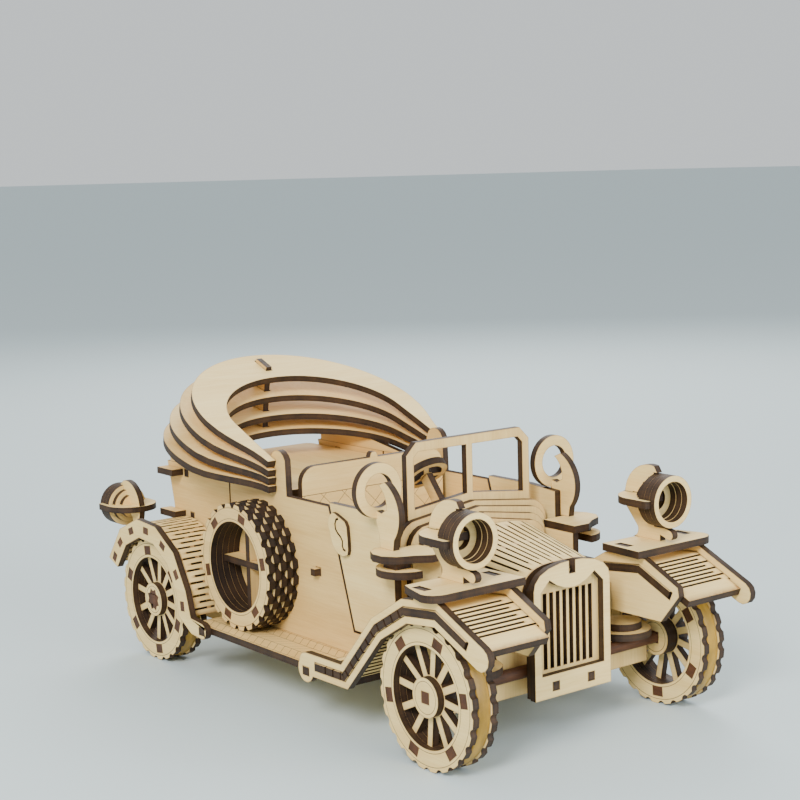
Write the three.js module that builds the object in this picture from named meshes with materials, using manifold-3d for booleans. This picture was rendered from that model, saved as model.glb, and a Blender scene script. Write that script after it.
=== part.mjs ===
// Vintage open car built up from laser-cut plywood sheet, in millimetres, +Z up.
// +X is the front of the car and +Y its left. The origin is on the ground, in the middle of the car.
import * as THREE from 'three';
import { mergeVertices } from 'three/addons/utils/BufferGeometryUtils.js';
import Module from 'manifold-3d';

const wasm = await Module();
wasm.setup();

// ---- driving dimensions ----
const ply = 3;                    // sheet thickness
const gap = 0.3;                  // clearance where one piece passes through another

const frontAxleX = 105;
const rearAxleX = -100;
const axleZ = 28;
const wheelRadius = 28;
const wheelWindow = 20.4;         // inner radius of the tyre rings
const wheelCore = 25;             // radius of the two middle layers, under the rubber band
const wheelInnerY = 54;           // inner face of a wheel; it is four layers wide
const treadCount = 24;            // scallops round the spare wheel's rings
const treadDepth = 1.2;
const spokeCount = 12;
const hubRadius = 7.7;
const axleRadius = 2.5;
const axleHoleRadius = 2.6;
const axleSquare = 4.5;           // square ends that key the wheels
const bandOuterRadius = 27.3;

const floorTop = 24.5;
const boardHalfWidth = 66.2;
const sideInnerY = 41.5;          // body side plates stand from here outwards
const sideOuterY = sideInnerY + ply;
const cabinHalfWidth = 41.2;
const railY = 7.8;                // inner face of each chassis rail
const bodyTop = 84.5;
const bodyFrontX = 60;

const fenderOuterY = 66.5;        // inner face of the outer fender plates
const fenderInnerY = 33.3;        // inner face of the inner front fender plates
const fenderBand = 4.6;           // half depth of the outer front fender plate
const rearFenderInner = 29.3;
const rearFenderOuter = 38;
const rearSheetRadius = 34.6;

const lampBaseZ = 67.3;
const lampY = 51.4;
const lampZ = 87;
const lampFaceX = 119;
const rearLampY = 57;
const rearLampZ = 66;
const rearLampFaceX = -146.6;
const rearLampScale = 0.92;

const ribPivotX = -27.3;          // the folding top's ribs fan out from here, each from its own height
const ribs = [{ z: 99.1, angle: 21.9, reach: 56, half: 56.4 }, { z: 94.8, angle: 17.2, reach: 68, half: 58.8 },
  { z: 91.2, angle: 12.3, reach: 77, half: 61.2 }, { z: 87.4, angle: 9.2, reach: 81, half: 63.6 }];
const spineReach = 81;            // distance of the spine behind the pivot
const spineHalf = 4.7;

const spareX = -37.6;
const spareLayers = 5;

// ---- materials ----
const birch = new THREE.MeshStandardMaterial({ color: 0xe0c79a, roughness: 0.75, metalness: 0 });
const paleBirch = new THREE.MeshStandardMaterial({ color: 0xead7b0, roughness: 0.75, metalness: 0 });
const rubber = new THREE.MeshStandardMaterial({ color: 0xc9a13f, roughness: 0.5, metalness: 0 });

// ---- outlines ----
const radians = THREE.MathUtils.degToRad;

// Points of an arc, angles in degrees.
function arc(cx, cy, rx, ry, from, to, steps) {
  return Array.from({ length: steps + 1 }, (_, i) => {
    const a = radians(from + ((to - from) * i) / steps);
    return [cx + rx * Math.cos(a), cy + ry * Math.sin(a)];
  });
}

function circle(cx, cy, r, steps, start = 0) {
  return arc(cx, cy, r, r, start, start + 360, steps).slice(0, -1);
}

function rectangle(x0, x1, y0, y1) {
  return [[x0, y0], [x1, y0], [x1, y1], [x0, y1]];
}

// Closes a right-hand half outline, drawn for positive first coordinate, with its mirror image.
function mirroredOutline(half) {
  return [...half, ...half.map(([a, b]) => [-a, b]).reverse()];
}

// The two long edges of a strip that follows an open path, mitred at the corners.
function stripEdges(path, half) {
  const edges = [[], []];
  path.forEach((point, i) => {
    const before = path[Math.max(i - 1, 0)];
    const after = path[Math.min(i + 1, path.length - 1)];
    const a = new THREE.Vector2(point[0] - before[0], point[1] - before[1]);
    const b = new THREE.Vector2(after[0] - point[0], after[1] - point[1]);
    const first = (a.length() ? a : b).clone().normalize();
    const second = (b.length() ? b : a).clone().normalize();
    const mean = first.clone().add(second).normalize();
    const reach = half / mean.dot(first);
    edges[0].push([point[0] - mean.y * reach, point[1] + mean.x * reach]);
    edges[1].push([point[0] + mean.y * reach, point[1] - mean.x * reach]);
  });
  return edges;
}

function strip(path, half, endSteps = 0) {
  const [upper, lower] = stripEdges(path, half);
  const cap = (tip, from) => {
    const start = THREE.MathUtils.radToDeg(Math.atan2(from[1] - tip[1], from[0] - tip[0]));
    return arc(tip[0], tip[1], half, half, start, start + 180, endSteps).slice(1, -1);
  };
  if (!endSteps) return [...lower, ...upper.reverse()];
  const rear = cap(path[0], upper[0]);
  const front = cap(path.at(-1), lower.at(-1));
  return [...lower, ...front, ...upper.reverse(), ...rear];
}

// The part of a path whose first coordinate runs from x0 to x1.
function pathBetween(path, x0, x1) {
  const at = (x) => {
    const i = Math.max(1, path.findIndex(([px]) => px >= x));
    const [[ax, az], [bx, bz]] = [path[i - 1], path[i]];
    return [x, az + ((bz - az) * (x - ax)) / (bx - ax)];
  };
  return [at(x0), ...path.filter(([x]) => x > x0 && x < x1), at(x1)];
}

// ---- plates ----
function extrusion(outline, thickness) {
  const corners = outline.filter(([x, y], i) => {
    const [ax, ay] = outline.at(i - 1);
    const [bx, by] = outline[(i + 1) % outline.length];
    return Math.abs((x - ax) * (by - ay) - (y - ay) * (bx - ax)) > 1e-6;
  });
  const shape = new THREE.Shape(corners.map(([x, y]) => new THREE.Vector2(x, y)));
  return new THREE.ExtrudeGeometry(shape, { depth: thickness, bevelEnabled: false, curveSegments: 1 });
}

// A flat plate on z = 0 with holes right through it.
function plate(outline, holes, thickness) {
  if (!holes.length) return extrusion(outline, thickness);
  return cut(extrusion(outline, thickness),
    ...holes.map((hole) => extrusion(hole, thickness + 2).translate(0, 0, -1)));
}

// A plate drawn in X and Z that fills y to y + thickness.
function sidePlate(y, outline, holes = [], thickness = ply) {
  return plate(outline, holes, thickness).rotateX(Math.PI / 2).translate(0, y + thickness, 0);
}

// A plate drawn in Y and Z that fills x to x + thickness.
const acrossCar = new THREE.Matrix4().makeBasis(
  new THREE.Vector3(0, 1, 0), new THREE.Vector3(0, 0, 1), new THREE.Vector3(1, 0, 0));
function crossPlate(x, outline, holes = [], thickness = ply) {
  return plate(outline, holes, thickness).applyMatrix4(acrossCar).translate(x, 0, 0);
}

// A plate drawn in X and Y that fills z to z + thickness.
function flatPlate(z, outline, holes = [], thickness = ply) {
  return plate(outline, holes, thickness).translate(0, 0, z);
}

// ---- joining, cutting and mirroring ----
// Positions and faces alone, with shared corners joined and faces of no area left out.
function positionsOnly(geometry) {
  const bare = geometry.clone();
  bare.deleteAttribute('normal');
  bare.deleteAttribute('uv');
  const merged = mergeVertices(bare, 1e-4);
  const corners = merged.index.array;
  const kept = [];
  for (let i = 0; i < corners.length; i += 3) {
    const [a, b, c] = corners.slice(i, i + 3);
    if (a !== b && b !== c && c !== a) kept.push(a, b, c);
  }
  return merged.setIndex(kept);
}

function solidOf(geometry) {
  const bare = positionsOnly(geometry);
  return new wasm.Manifold(new wasm.Mesh({
    numProp: 3,
    vertProperties: new Float32Array(bare.attributes.position.array),
    triVerts: new Uint32Array(bare.index.array),
  }));
}

function geometryOf(solid) {
  const mesh = solid.getMesh();
  const geometry = new THREE.BufferGeometry();
  geometry.setAttribute('position', new THREE.BufferAttribute(mesh.vertProperties, 3));
  geometry.setIndex(new THREE.BufferAttribute(mesh.triVerts, 1));
  return geometry;
}

function join(...geometries) {
  return geometryOf(geometries.map(solidOf).reduce((whole, next) => whole.add(next)));
}

function cut(geometry, ...tools) {
  return geometryOf(tools.map(solidOf).reduce((rest, tool) => rest.subtract(tool), solidOf(geometry)));
}

// The same shape on the other side of the car.
function otherSide(geometry) {
  const twin = positionsOnly(geometry).scale(1, -1, 1);
  const index = twin.index.array;
  for (let i = 0; i < index.length; i += 3) [index[i + 1], index[i + 2]] = [index[i + 2], index[i + 1]];
  return twin;
}

function box(x0, x1, y0, y1, z0, z1) {
  return new THREE.BoxGeometry(x1 - x0, y1 - y0, z1 - z0)
    .translate((x0 + x1) / 2, (y0 + y1) / 2, (z0 + z1) / 2);
}

const car = new THREE.Group();

function add(name, geometry, material = birch) {
  const mesh = new THREE.Mesh(geometry, material);
  mesh.name = name;
  car.add(mesh);
}

// Adds a right-hand piece and its left-hand twin.
function addPair(name, geometry, material = birch) {
  add(`${name}_right`, geometry, material);
  add(`${name}_left`, otherSide(geometry), material);
}

// ---- wheels ----
function treadOutline(cx, cz, shift = 0) {
  return Array.from({ length: treadCount * 2 }, (_, i) => {
    const a = radians(-90 + ((i + shift) * 360) / (treadCount * 2));
    const r = i % 2 ? wheelRadius - treadDepth : wheelRadius;
    return [cx + r * Math.cos(a), cz + r * Math.sin(a)];
  });
}

const windowSteps = 20;
function tyreRing(y, cx) {
  return sidePlate(y, circle(cx, axleZ, wheelRadius, 36, 90), [circle(cx, axleZ, wheelWindow, windowSteps)]);
}

function spokeDisc(y, cx, cz, phase) {
  const pitch = 360 / spokeCount;
  const spokeHalf = 1.4;
  const windows = Array.from({ length: spokeCount }, (_, i) => {
    const side = (r, sign) => phase + i * pitch + sign * (pitch / 2 - THREE.MathUtils.radToDeg(spokeHalf / r));
    const at = (r, angle) => [cx + r * Math.cos(radians(angle)), cz + r * Math.sin(radians(angle))];
    const rim = wheelWindow - 0.6;
    return [at(hubRadius + 0.6, side(hubRadius + 0.6, -1)), at(rim, side(rim, -1)),
      at(rim, side(rim, 1)), at(hubRadius + 0.6, side(hubRadius + 0.6, 1))];
  });
  return sidePlate(y, circle(cx, cz, wheelCore, 32), windows);
}

function roadWheel(cx, phase) {
  const outerY = -wheelInnerY - 4 * ply;
  const key = axleSquare / 2 + 0.05;
  const layers = join(
    tyreRing(outerY, cx),
    sidePlate(outerY, circle(cx, axleZ, hubRadius, 20)),
    spokeDisc(outerY + ply, cx, axleZ, phase),
    sidePlate(outerY + 2 * ply, circle(cx, axleZ, wheelCore, 32), [circle(cx, axleZ, wheelWindow, windowSteps)]),
    tyreRing(outerY + 3 * ply, cx),
    sidePlate(outerY + 2 * ply, circle(cx, axleZ, hubRadius, 20), [], 2 * ply));
  return cut(layers, box(cx - key, cx + key, outerY - 1, -wheelInnerY + 1, axleZ - key, axleZ + key));
}

function rubberBand(cx) {
  const inner = wheelCore + 0.25;
  const half = ply - 0.15;
  const profile = [[inner, -half], [bandOuterRadius, -half], [bandOuterRadius, half], [inner, half], [inner, -half]]
    .map(([r, y]) => new THREE.Vector2(r, y));
  return new THREE.LatheGeometry(profile, 30).translate(cx, -wheelInnerY - 2 * ply, axleZ);
}

function axle(cx) {
  const length = 2 * wheelInnerY;
  const half = axleSquare / 2;
  const rod = new THREE.CylinderGeometry(axleRadius, axleRadius, length, 20).translate(cx, 0, axleZ);
  const ends = [-1, 1].map((side) => {
    const [y0, y1] = [side * (wheelInnerY - 0.5), side * (wheelInnerY + 4 * ply)].sort((a, b) => a - b);
    return box(cx - half, cx + half, y0, y1, axleZ - half, axleZ + half);
  });
  return join(rod, ...ends);
}

for (const [end, cx, rightPhase, leftPhase] of [['front', frontAxleX, 9, 4], ['rear', rearAxleX, 8, 0]]) {
  add(`${end}_axle`, axle(cx));
  add(`wheel_${end}_right`, roadWheel(cx, rightPhase));
  add(`wheel_${end}_left`, otherSide(roadWheel(cx, leftPhase)));
  addPair(`rubber_band_${end}`, rubberBand(cx), rubber);
}

// ---- spare wheel on the right running board ----
const spareZ = floorTop + wheelRadius + 0.1;
add('spare_wheel', join(...Array.from({ length: spareLayers }, (_, i) =>
  sidePlate(-sideOuterY - (i + 1) * ply, treadOutline(spareX, spareZ, i % 2),
    [circle(spareX, spareZ, wheelWindow, windowSteps)]))));
const spareBar = wheelWindow - 0.5;
const bracketY = -sideOuterY - 8;
add('spare_bracket', join(
  box(spareX - spareBar, spareX + spareBar, bracketY, -sideOuterY, spareZ - ply / 2, spareZ + ply / 2),
  box(spareX - ply / 2, spareX + ply / 2, bracketY, -sideOuterY, spareZ - spareBar, spareZ + spareBar)));

// ---- chassis ----
const boardRearX = -62.5;
const boardFrontX = 57;
const boardTenons = [[-53, -49], [29, 33]];
const floorRearX = -108.5;
const floorFrontX = 95;
const boardEdge = boardTenons.flatMap(([x0, x1]) => [
  [x0, boardHalfWidth], [x0, fenderOuterY + ply], [x1, fenderOuterY + ply], [x1, boardHalfWidth]]);
const floorHalf = [[floorRearX, cabinHalfWidth], [boardRearX, cabinHalfWidth], [boardRearX, boardHalfWidth],
  ...boardEdge, [boardFrontX, boardHalfWidth], [boardFrontX, sideOuterY], [bodyFrontX, cabinHalfWidth - 9],
  [floorFrontX, 30]];
add('floor_plate', flatPlate(floorTop - ply,
  [...floorHalf.map(([x, y]) => [x, -y]), ...floorHalf.reverse()]));

const railTop = floorTop - ply;
const railNose = { x0: 96, x1: 108.5, z0: 18, z1: 34 };
const tenonZ = 21.2;
const rail = [[-106, 13.5], [90, 13.5], [railNose.x0, railNose.z0], [railNose.x1, railNose.z0],
  [railNose.x1, tenonZ], [114.5, tenonZ], [114.5, tenonZ + ply], [railNose.x1, tenonZ + ply],
  [railNose.x1, railNose.z1], [railNose.x0, railNose.z1], [railNose.x0, railTop], [-106, railTop]];
addPair('chassis_rail', sidePlate(-railY - ply, rail, [circle(frontAxleX, axleZ, axleHoleRadius, 20)]));

const beamX = 98.5;
const railSlot = [railY - gap, railY + ply + gap];
const beamHalf = [[0, 17.5], [railSlot[0], 17.5], [railSlot[0], railNose.z1 + gap], [railSlot[1], railNose.z1 + gap],
  [railSlot[1], 17.5], [53, 17.5], [53, 24.3], [27.5, 24.3], ...arc(43.5, 32, 15.5, 12, 205, 140, 4), [33, 54]];
const springPad = (y) => [
  flatPlate(31, circle(beamX + 2, y, 12, 24)),
  flatPlate(31 + ply, circle(beamX + 2, y, 8, 20))];
add('front_axle_beam', join(crossPlate(beamX, mirroredOutline(beamHalf.slice(1))),
  ...springPad(40), ...springPad(-40)));

// ---- radiator and bonnet ----
const grilleX = 108.5;
const shellX = grilleX + ply;
const shellHalf = [[20, 18.3], [20, 61.5], [19.2, 64.6], [16.6, 67.4], [12, 69.5], [6, 70.7], [1.6, 70.9], [1.6, 65.8]];
const tongue = [[16.3, 27.5], [16.3, 60.4], [11.8, 64.8], [8, 62.2], [4, 60.6], [1, 60.2]];
const railTenonHoles = [-1, 1].map((side) => {
  const [y0, y1] = [side * railSlot[0], side * railSlot[1]].sort((a, b) => a - b);
  return rectangle(y0, y1, tenonZ - gap, tenonZ + ply + gap);
});
add('radiator_shell', crossPlate(shellX, mirroredOutline(shellHalf), [mirroredOutline(tongue), ...railTenonHoles]));
const slatPitch = 3.4;
const slots = Array.from({ length: 8 }, (_, i) => {
  const y = (i - 3.5) * slatPitch;
  return rectangle(y - 0.95, y + 0.95, 29, 59);
});
const grilleHalf = [[19, 18.3], [19, 61], [15, 65], [5, 67]];
add('radiator_grille', crossPlate(grilleX, mirroredOutline(grilleHalf), [...slots, ...railTenonHoles]));

// An arched shell between two cross sections, each given as [x, half width, crown z, lower edge z].
function archedShell(rear, front, thickness, steps) {
  const section = ([x, w, crown, low]) => {
    const edge = (inset) => Array.from({ length: steps + 1 }, (_, i) => {
      const a = (Math.PI * i) / steps;
      const flat = 0.62;
      const bend = (v) => Math.sign(v) * Math.abs(v) ** flat;
      return [x, (w - inset) * bend(Math.cos(a)), low + (crown - inset - low) * bend(Math.sin(a))];
    });
    return [...edge(0), ...edge(thickness).reverse()];
  };
  const [a, b] = [section(rear), section(front)];
  const count = a.length;
  const faces = [];
  for (let i = 0; i < count; i += 1) {
    const j = (i + 1) % count;
    faces.push([i, j, count + j], [i, count + j, count + i]);
  }
  for (let i = 0; i < steps; i += 1) {
    const [p, q, r, s] = [i, i + 1, count - 2 - i, count - 1 - i];
    faces.push([p, r, q], [p, s, r], [count + p, count + q, count + r], [count + p, count + r, count + s]);
  }
  const geometry = new THREE.BufferGeometry();
  geometry.setAttribute('position', new THREE.Float32BufferAttribute([...a, ...b].flat(), 3));
  geometry.setIndex(faces.flat());
  return geometry;
}
const bonnetRear = [65.3, 28.5, 78, 56];
const bonnetFront = [108.2, 20.5, 69.8, 54.6];
add('bonnet_cover', archedShell(bonnetRear, bonnetFront, ply, 14));

// ---- cowl and windscreen ----
const screenX = 50;
const firewallX = screenX + ply;

// Half of an arch whose top rises in a low gable to the middle of the car.
function archHalf(halfWidth, crown, base) {
  const shoulder = crown - 3.8;
  const corner = 9;
  return [[halfWidth, base], ...arc(halfWidth - corner, shoulder - corner, corner, corner, 0, 90, 5), [0, crown]];
}
const gable = (half) => [...half, ...half.slice(0, -1).map(([a, b]) => [-a, b]).reverse()];
add('firewall', crossPlate(firewallX, gable(archHalf(cabinHalfWidth - 2.2, 86.4, floorTop + gap))));
add('cowl_arch_rear', crossPlate(firewallX + ply, gable(archHalf(36.2, 84.4, 50))));
add('cowl_arch_front', join(
  crossPlate(firewallX + 2 * ply, gable(archHalf(33, 82.3, 50))),
  crossPlate(firewallX + 3 * ply, gable(archHalf(30.5, 80.2, 50)))));

const screenHalf = [[32.5, 79.5], [32.5, 108.5], [27.5, 113.5]];
const paneFor = (side) => {
  const half = [[28.8, 86.2], [28.8, 107.2], [26.4, 109.6], [1.6, 109.6], [1.6, 89.4]];
  return half.map(([y, z]) => [side * y, z]);
};
add('windscreen_frame', crossPlate(screenX, mirroredOutline(screenHalf), [paneFor(-1), paneFor(1)]));

// ---- steering ----
const steeringHub = new THREE.Vector3(39, -12.5, 97.5);
const columnAxis = new THREE.Vector3(0.64, 0, -0.768).normalize();
const columnPoint = (distance) => {
  const point = steeringHub.clone().addScaledVector(columnAxis, distance);
  return [point.x, point.z];
};
const rimOuter = 9.6;
const rimInner = 7;
const wheelPlate = (outline, holes) => plate(outline, holes, ply).translate(0, 0, -ply / 2);
const hubTurn = new THREE.Quaternion().setFromUnitVectors(new THREE.Vector3(0, 0, -1), columnAxis);
const spokes = [90, 210, 330].map((angle) =>
  new THREE.BoxGeometry(rimInner + 1.2, 2.2, ply).translate((rimInner + 1.2) / 2, 0, 0).rotateZ(radians(angle)));
add('steering_wheel', join(wheelPlate(circle(0, 0, rimOuter, 32), [circle(0, 0, rimInner, 28)]),
  wheelPlate(circle(0, 0, 2.6, 16), []), ...spokes)
  .applyQuaternion(hubTurn).translate(...steeringHub));
const columnEnd = box(screenX, screenX + 20, steeringHub.y - ply, steeringHub.y + ply, 60, 100);
add('steering_column', cut(sidePlate(steeringHub.y - ply / 2,
  strip([columnPoint(ply / 2 + gap), columnPoint(24)], 2.5)), columnEnd));

// ---- body ----
const shelfZ = 63;
const deckZ = 82.8;
const seatZ = 54;
const seatTenonX = 3.9;
const tenonHole = (x, z) => rectangle(x - gap, x + ply + gap, z - gap, z + ply + gap);
const deckTenonX = -103.5;
const shelfTenonX = -99.5;
const doorRearTop = 14.2;
const doorRearFoot = 29.8;
const sillTop = 34;
const bodySide = [[bodyFrontX, floorTop], [bodyFrontX, sillTop], [doorRearFoot, sillTop], [doorRearTop, bodyTop],
  [-17, bodyTop], [-17, 97.5], ...arc(-23.2, 97.5, 6.2, 6.4, 0, 180, 8), [-31, 88.4],
  [-63.2, 88.4], [-63.2, 74], [-64.1, 74], [-64.1, 88.4],
  [-119.3, 88.4], [-114.6, 69], [-111.6, 50], [-109.4, 18], [-63.5, 18], [-63.5, floorTop]];
addPair('body_side', sidePlate(-sideOuterY, bodySide, [
  tenonHole(seatTenonX, seatZ), tenonHole(deckTenonX, deckZ), tenonHole(shelfTenonX, shelfZ),
  circle(rearAxleX, axleZ, axleHoleRadius, 20)]));
const doorGap = 0.9;
addPair('door', sidePlate(-sideOuterY, [
  [doorRearTop + doorGap, 86.2], [doorRearFoot + doorGap, sillTop + doorGap],
  [bodyFrontX - doorGap, sillTop + doorGap], [bodyFrontX - doorGap, 84.9], [42, 86.2]]), paleBirch);

// A cross plate of the body with a tenon into each side at x0 to x0 + ply.
function tenonedShelf(z, rearX, frontX, tenonX, reach) {
  const half = [[frontX, cabinHalfWidth], [tenonX + ply, cabinHalfWidth], [tenonX + ply, reach],
    [tenonX, reach], [tenonX, cabinHalfWidth], ...arc(rearX + 4, cabinHalfWidth - 4, 4, 4, 90, 180, 3)];
  return flatPlate(z, [...half, ...half.map(([x, y]) => [x, -y]).reverse()]);
}
const rearSlope = [[-115.6, deckZ - gap], [-112.5, deckZ - gap], [-105.6, floorTop + gap], [-108.7, floorTop + gap]];
add('rear_panel', join(sidePlate(-cabinHalfWidth, rearSlope, [], 2 * cabinHalfWidth),
  tenonedShelf(shelfZ, -123, -96, shelfTenonX, sideOuterY)));
add('rear_deck', tenonedShelf(deckZ, -127, -22, deckTenonX, sideOuterY));
add('seat_cushion', tenonedShelf(seatZ, -13, 22, seatTenonX, sideOuterY + ply));
const seatHalf = [[38.5, seatZ - 8], ...arc(31.5, 89.5, 7, 7, 0, 90, 5), [2.2, 96.5], [1.6, 98.3], [0.8, 98.9]];
add('seat_back', crossPlate(-17, mirroredOutline(seatHalf)), paleBirch);

// ---- folding top: four horseshoe ribs fanned about the pillars, held apart by a spine ----
const outerCurve = ({ reach, half }) => [[-3, 48.8], [8, 50.4 + 0.15 * (half - 56.4)], [19, 54.3 + 0.55 * (half - 56.4)],
  ...arc(36, 0, reach, half, 90, 0, 9)];
const innerCurve = [[-3, 44.9], [14, 45], ...arc(30, 0, 38.8, 44.8, 90, 0, 8)];
const acrossMiddle = (points) => points.map(([u, y]) => [u, -y]);
const ribOutline = (rib) => [...outerCurve(rib), ...acrossMiddle(outerCurve(rib)).reverse().slice(1),
  ...acrossMiddle(innerCurve), ...innerCurve.slice(0, -1).reverse()];
const spineSlot = rectangle(spineReach - spineHalf - 3 * gap, spineReach + spineHalf + 3 * gap,
  -ply / 2 - gap, ply / 2 + gap);
const ribPoint = ({ z, angle }, u, lift = 0) => [ribPivotX - u * Math.cos(radians(angle)) + lift * Math.sin(radians(angle)),
  z + u * Math.sin(radians(angle)) + lift * Math.cos(radians(angle))];
ribs.forEach((rib, i) => {
  add(`top_rib_${i + 1}`, plate(ribOutline(rib), [spineSlot], ply).translate(0, 0, -ply / 2)
    .rotateZ(Math.PI).rotateY(radians(rib.angle)).translate(ribPivotX, 0, rib.z), i ? birch : paleBirch);
});
const spinePath = [ribPoint(ribs[0], spineReach, 3), ...ribs.map((rib) => ribPoint(rib, spineReach)),
  ribPoint(ribs.at(-1), spineReach, -2.6)];
add('top_spine', sidePlate(-ply / 2, strip(spinePath, spineHalf)));

// ---- front fenders ----
const fenderPath = [[31, 26.2], [58, 26.4], [80, 50], [98, 60.3], [117, 62.3], [142, 51]];
const sheetEndX = 134;
const slotBand = strip(pathBetween(fenderPath, 37.5, sheetEndX + 1), ply / 2 + gap);
const lampTenon = [[104, 64.2], [104, lampBaseZ + ply - 0.4], [111, lampBaseZ + ply - 0.4], [111, 64.2]];
const boardMortise = ([x0, x1]) => box(x0 - gap, x1 + gap, -fenderOuterY - ply - 1, -fenderOuterY + 1,
  floorTop - ply - gap, floorTop + gap);
addPair('front_fender_outer', cut(join(
  sidePlate(-fenderOuterY - ply, strip(fenderPath, fenderBand, 6), [slotBand]),
  sidePlate(-fenderOuterY - ply, circle(31, 23.8, 5.4, 20)),
  sidePlate(-fenderOuterY - ply, lampTenon)), boardMortise(boardTenons[1])));
const innerFender = [[bodyFrontX + gap, 27], [74, 27], [92, 42.7], [129.4, 42.9], [139.2, 54.6], [138.6, 58.2],
  [120.5, 66.8], [111, 66.9], [111, lampBaseZ + ply - 0.4], [104, lampBaseZ + ply - 0.4], [104, 66.9], [98, 66.2],
  [90, 61.6], [79, 61.6], [79, 71], [bodyFrontX + gap, 71]];
addPair('front_fender_inner', sidePlate(-fenderInnerY - ply, innerFender,
  [strip(pathBetween(fenderPath, bodyFrontX + 3, sheetEndX + 1), ply / 2 + gap)]), paleBirch);
const sheetBand = (x0, x1, y0, y1) => sidePlate(y0, strip(pathBetween(fenderPath, x0, x1), ply / 2), [], y1 - y0);
addPair('front_fender_sheet', join(
  sheetBand(38, bodyFrontX + 5, -fenderOuterY - ply, -sideOuterY - gap),
  sheetBand(bodyFrontX + 4, sheetEndX, -fenderOuterY - ply, -fenderInnerY),
  sheetBand(sheetEndX - 2, 141, -fenderOuterY + gap, -fenderInnerY - ply - gap)));

// ---- rear fenders ----
const facetAngles = [157, 127, 99, 73, 45, 17, -3];
const facet = (radius, angle) => [rearAxleX + radius * Math.cos(radians(angle)), axleZ + radius * Math.sin(radians(angle))];
const tailLobe = [[-60, 20.2], ...arc(-51, 23, 3.6, 3.6, -80, 80, 5), [-60, 27.4]];
const rearPlate = [...facetAngles.map((angle) => facet(rearFenderInner, angle)), ...tailLobe,
  ...facetAngles.slice(0, -1).reverse().map((angle) => facet(rearFenderOuter, angle))];
addPair('rear_fender_outer', cut(sidePlate(-fenderOuterY - ply, rearPlate), boardMortise(boardTenons[0])));
addPair('rear_fender_sheet', sidePlate(-fenderOuterY + gap / 3,
  strip([...facetAngles.slice(0, -1).map((angle) => facet(rearSheetRadius, angle)), [-65, 26.5]], ply / 2), [],
  fenderOuterY - sideOuterY - gap));

// ---- lamp bases over the front fenders ----
const basePoints = [[99, -31], [121, -29.5], [121, -66], ...arc(114.5, -67.5, 6.5, 6.5, 0, -90, 4), [105, -71.5], [99, -69.5]];
const baseHoles = [[fenderOuterY, fenderOuterY + ply], [fenderInnerY, fenderInnerY + ply]].map(([y0, y1]) =>
  rectangle(104 - gap, 111 + gap, -y1 - gap, -y0 + gap));
addPair('lamp_base', flatPlate(lampBaseZ, basePoints.reverse(), baseHoles));

// ---- lamps: turned-looking stacks of discs, a level plate around them and an upright yoke ----
const discSteps = [[0, -15], [6, -15], [6, -12], [8.5, -12], [8.5, -9], [10.7, -9], [10.7, 0], [8.2, 0],
  [8.2, -8.5], [0, -8.5]];
function lampRings(faceX, y, z) {
  return new THREE.LatheGeometry(discSteps.map(([r, x]) => new THREE.Vector2(r, x)), 24)
    .rotateZ(-Math.PI / 2).translate(faceX, y, z);
}
function levelPlate(faceX, y, z, slotDepth) {
  const outline = [[faceX - 2, y - 9.6], [faceX - 2, y - 13], ...arc(faceX - 13, y, 13, 13, -90, -180, 6).slice(0, -1)];
  const slot = slotDepth ? [[faceX - 26, y - 1.8], [faceX - 26 + slotDepth, y - 1.8],
    [faceX - 26 + slotDepth, y + 1.8], [faceX - 26, y + 1.8]] : [[faceX - 26, y]];
  const far = outline.map(([x, v]) => [x, 2 * y - v]).reverse();
  return flatPlate(z - ply / 2, [...far, [faceX - 10, y + 9.6], [faceX - 10, y - 9.6], ...outline, ...slot].reverse());
}
function yokeOutline(faceX, z, foot) {
  return [...arc(faceX - 12, z, 14, 14, 78, 205, 12), [faceX - 20, foot], [faceX - 6, foot],
    [faceX - 6, foot + 4], ...arc(faceX - 1, foot + 3, 2, 2, -90, 80, 4), [faceX - 3, z - 11.1], [faceX - 9.3, z - 11.1],
    [faceX - 9.3, z - 8.9], [faceX - 12.3, z - 8.9], [faceX - 12.3, z - 6.4], [faceX - 15.4, z - 6.4],
    [faceX - 15.4, z + 6.4], [faceX - 12.3, z + 6.4], [faceX - 12.3, z + 8.9], [faceX - 9.3, z + 8.9],
    [faceX - 9.3, z + 11.1], [faceX - 7.4, z + 11.1]];
}
addPair('headlamp_rings', join(lampRings(lampFaceX, -lampY, lampZ), levelPlate(lampFaceX, -lampY, lampZ, 5)));
const lampSlot = box(lampFaceX - 21.3, lampFaceX - 14, -lampY - 3, -lampY + 3,
  lampZ - ply / 2 - gap, lampZ + ply / 2 + gap);
addPair('headlamp_yoke', cut(sidePlate(-lampY - ply / 2, yokeOutline(lampFaceX, lampZ, lampBaseZ + ply)), lampSlot),
  paleBirch);

// The rear lamps are the same three pieces a little smaller, turned to face backwards.
const rearLamp = join(lampRings(0, 0, 0), levelPlate(0, 0, 0, 0),
  sidePlate(-ply / 2, [...arc(-12, 0, 13.4, 13.4, 78, 215, 12), [-24.5, -12.5], [-19.5, -12.5], [-17, -5],
    [-9, 0], [-9, 9.5], [-6, 9.5], [-6, 10.9]]));
const lampTurn = new THREE.Matrix4().makeScale(rearLampScale, rearLampScale, rearLampScale)
  .premultiply(new THREE.Matrix4().makeRotationZ(Math.PI))
  .premultiply(new THREE.Matrix4().makeTranslation(rearLampFaceX, -rearLampY, rearLampZ));
addPair('rear_lamp', rearLamp.applyMatrix4(lampTurn));

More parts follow.
